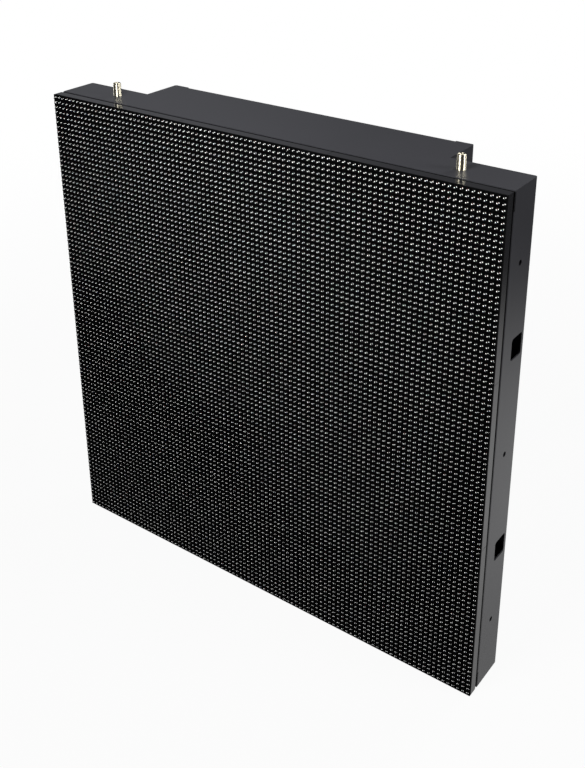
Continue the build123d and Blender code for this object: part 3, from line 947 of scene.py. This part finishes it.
def add_lamp(name, place, target, side, power):
    """Square soft lamp that points at a target."""
    light = bpy.data.lights.new(name, "AREA")
    light.shape = "SQUARE"
    light.size = side
    light.energy = power
    lamp = bpy.data.objects.new(name, light)
    lamp.location = place
    lamp.rotation_euler = (Vector(target) - Vector(place)).to_track_quat("-Z", "Y").to_euler()
    bpy.context.scene.collection.objects.link(lamp)


def floor_material():
    """White floor. The camera sees it white with a faint shadow round the part.

    In reflections it is a painted pool of light, with painted shadow close to the part, and the pool fades
    nearly to dark in front of the part."""
    material = bpy.data.materials.new("stage_floor")
    material.use_nodes = True
    graph = Graph(material.node_tree)
    x, y, _ = graph.parts(graph.add("ShaderNodeTexCoord", output="Object"))
    distance = (x * x + y * y) ** 0.5
    path = graph.add("ShaderNodeLightPath")
    camera = graph.also(path, "Is Camera Ray")
    glossy = graph.also(path, "Is Glossy Ray")
    through = graph.also(path, "Is Transmission Ray")
    matt = graph.add("ShaderNodeBsdfDiffuse", inputs={"Color": solid(WHITE, 0.25)})
    bright = graph.add("ShaderNodeEmission", inputs={"Color": solid(WHITE)})
    seen = graph.mix_shader(graph.ramp(distance, (0.5, 2.0), (0.94, 1.0)), matt, bright)
    # Seen only in reflections: painted shadow close to the part, a painted pool of light round it, nearly
    # dark in front of the LED face
    painted_contact_shadow = graph.ramp(distance, (0.28, 0.5), (0.72, 1.0))
    behind = graph.ramp(y, (-0.3, -0.05), (0.12, 1.0))
    painted_pool = graph.ramp(distance, (0.62, 1.3), (0.82, 0.03))
    mirrored = graph.add("ShaderNodeEmission", inputs={"Strength": painted_contact_shadow * behind * painted_pool})
    plain = graph.mix_shader(camera, matt, seen)
    whole = graph.mix_shader(glossy.math("MAXIMUM", glossy, through), plain, mirrored)
    graph.add("ShaderNodeOutputMaterial", inputs={"Surface": whole})
    return material


class LEDPANEL_OT_stage(bpy.types.Operator):
    """Builds the floor, the lamps, the surroundings and the camera"""

    bl_idname = "ledpanel.stage"
    bl_label = "Stage"

    def execute(self, context):
        scene = context.scene
        sizes = scene.ledpanel_stage
        half = sizes.floor / 2
        corners = [(side * half, rise * half, 0) for side, rise in QUARTERS]
        floor = mesh_object("floor", lambda bm: bm.faces.new([bm.verts.new(corner) for corner in corners]))
        floor.data.materials.append(floor_material())
        for name in LAMPS:
            place, side, power = (getattr(sizes, f"{name}_{part}") for part in ("place", "side", "power"))
            add_lamp(f"{name}_lamp", place, sizes.target, side, power)
        self.surround(scene, sizes.ambient)
        self.place_camera(scene, sizes)
        scene.view_settings.view_transform = "Standard"
        return {"FINISHED"}

    @staticmethod
    def surround(scene, level):
        """Surroundings that the camera sees as white and that light the part in a cool grey."""
        world = bpy.data.worlds.new("surroundings")
        world.use_nodes = True
        graph = Graph(world.node_tree)
        path = graph.add("ShaderNodeLightPath")
        x, _, _ = graph.parts(graph.add("ShaderNodeTexCoord", output="Generated"))
        # Brighter from the left
        lit = graph.ramp(-x, (0.42, 0.66), (0.44 * level, 1.2 * level))
        cool = (0.95, 0.97, 1.03, 1.0)
        grey = graph.add("ShaderNodeBackground", inputs={"Color": cool, "Strength": lit})
        white = graph.add("ShaderNodeBackground", inputs={"Color": solid(WHITE)})
        both = graph.mix_shader(graph.also(path, "Is Camera Ray"), grey, white)
        graph.add("ShaderNodeOutputWorld", inputs={"Surface": both})
        scene.world = world

    @staticmethod
    def place_camera(scene, sizes):
        """Camera at the photograph's angle."""
        camera = bpy.data.cameras.new("camera")
        camera.lens = sizes.lens
        camera.shift_y = sizes.shift
        placed = bpy.data.objects.new("camera", camera)
        placed.location = sizes.camera_place
        placed.rotation_euler = sizes.camera_turn
        scene.collection.objects.link(placed)
        scene.camera = placed


OPERATORS = (
    LEDPANEL_OT_masks,
    LEDPANEL_OT_leds,
    LEDPANEL_OT_cover_screws,
    LEDPANEL_OT_case,
    LEDPANEL_OT_stage,
)
GROUPS = {
    "ledpanel_mask": MaskSizes,
    "ledpanel_led": LedSizes,
    "ledpanel_screw": ScrewSizes,
    "ledpanel_colours": FinishColours,
    "ledpanel_stage": StageSizes,
}


class LEDPANEL_PT_sidebar(bpy.types.Panel):
    """Lists the sizes, the colours and the steps"""

    bl_idname = "LEDPANEL_PT_sidebar"
    bl_label = "LED panel"
    bl_space_type = "VIEW_3D"
    bl_region_type = "UI"
    bl_category = "LED panel"

    def draw(self, context):
        for name, group in GROUPS.items():
            box = self.layout.box()
            box.label(text=group.__doc__.rstrip("."))
            for field in group.__annotations__:
                box.prop(getattr(context.scene, name), field)
        for operator in OPERATORS:
            self.layout.operator(operator.bl_idname)


def register():
    for group in GROUPS.values():
        bpy.utils.register_class(group)
    for name, group in GROUPS.items():
        setattr(bpy.types.Scene, name, bpy.props.PointerProperty(type=group))
    for operator in OPERATORS:
        bpy.utils.register_class(operator)
    bpy.utils.register_class(LEDPANEL_PT_sidebar)


def unregister():
    bpy.utils.unregister_class(LEDPANEL_PT_sidebar)
    for operator in reversed(OPERATORS):
        bpy.utils.unregister_class(operator)
    for name in GROUPS:
        delattr(bpy.types.Scene, name)
    for group in GROUPS.values():
        bpy.utils.unregister_class(group)


def main():
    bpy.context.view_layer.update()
    register()
    bpy.ops.ledpanel.masks()
    bpy.ops.ledpanel.leds()
    bpy.ops.ledpanel.cover_screws()
    bpy.ops.ledpanel.case()
    bpy.ops.ledpanel.stage()


if __name__ == "__main__":
    main()
